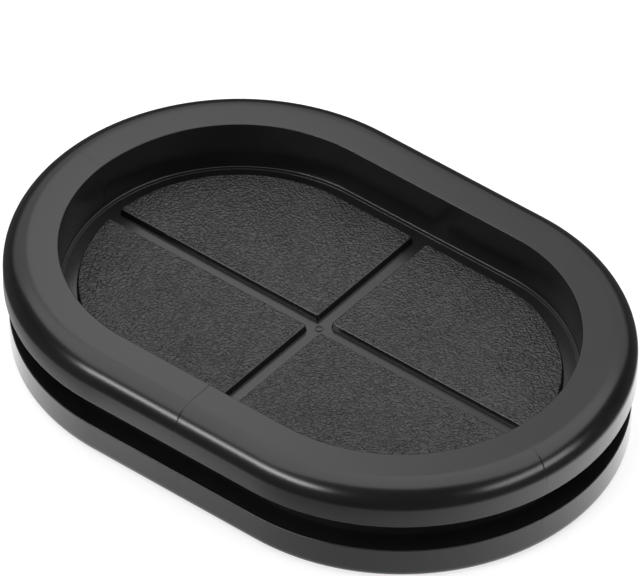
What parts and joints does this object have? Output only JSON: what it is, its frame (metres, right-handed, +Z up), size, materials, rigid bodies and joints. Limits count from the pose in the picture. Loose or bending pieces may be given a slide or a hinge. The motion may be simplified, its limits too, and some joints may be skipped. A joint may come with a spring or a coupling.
{
  "type": "desk grommet",
  "caption": "Oval double-sided rubber cable grommet: two flanges, a panel groove, and a diaphragm of grained pads that parts into flaps.",
  "frame": {"origin": "under the middle of the oval, in the plane of the lower flange's bottom face", "axes": "+X along the oval's length, +Y across it, +Z up out of the visible side"},
  "size_m": [0.0654, 0.0454, 0.0116],
  "materials": {
    "smooth_rubber": "satin black",
    "grained_rubber": "fine spark-eroded grain, matte black"
  },
  "bodies": {
    "ring": {"sleeve": "smooth_rubber", "upper_flange": "smooth_rubber", "lower_flange": "smooth_rubber", "shoulder_web_rear_right": "smooth_rubber", "shoulder_pad_rear_right": "grained_rubber", "fold_strip_rear_right": "smooth_rubber", "shoulder_web_rear_left": "smooth_rubber", "shoulder_pad_rear_left": "grained_rubber", "fold_strip_rear_left": "smooth_rubber", "shoulder_web_front_left": "smooth_rubber", "shoulder_pad_front_left": "grained_rubber", "fold_strip_front_left": "smooth_rubber", "shoulder_web_front_right": "smooth_rubber", "shoulder_pad_front_right": "grained_rubber", "fold_strip_front_right": "smooth_rubber"},
    "flap_rear_right": {"flap_web_rear_right": "smooth_rubber", "flap_pad_rear_right": "grained_rubber"},
    "flap_rear_left": {"flap_web_rear_left": "smooth_rubber", "flap_pad_rear_left": "grained_rubber"},
    "flap_front_left": {"flap_web_front_left": "smooth_rubber", "flap_pad_front_left": "grained_rubber"},
    "flap_front_right": {"flap_web_front_right": "smooth_rubber", "flap_pad_front_right": "grained_rubber"}
  },
  "joints": [
    {"name": "fold_rear_right", "type": "hinge", "parent": "ring", "child": "flap_rear_right", "pos_m": [0.01367, 0.00868, 0.0055], "axis": [-0.8444, 0.5357, 0], "range_deg": [-75, 60], "stiffness_Nm_per_rad": 0.006, "deforming": ["fold_strip_rear_right"]},
    {"name": "fold_rear_left", "type": "hinge", "parent": "ring", "child": "flap_rear_left", "pos_m": [-0.01367, 0.00868, 0.0055], "axis": [-0.8444, -0.5357, 0], "range_deg": [-75, 60], "stiffness_Nm_per_rad": 0.006, "deforming": ["fold_strip_rear_left"]},
    {"name": "fold_front_left", "type": "hinge", "parent": "ring", "child": "flap_front_left", "pos_m": [-0.01367, -0.00868, 0.0055], "axis": [0.8444, -0.5357, 0], "range_deg": [-75, 60], "stiffness_Nm_per_rad": 0.006, "deforming": ["fold_strip_front_left"]},
    {"name": "fold_front_right", "type": "hinge", "parent": "ring", "child": "flap_front_right", "pos_m": [0.01367, -0.00868, 0.0055], "axis": [0.8444, 0.5357, 0], "range_deg": [-75, 60], "stiffness_Nm_per_rad": 0.006, "deforming": ["fold_strip_front_right"]}
  ]
}
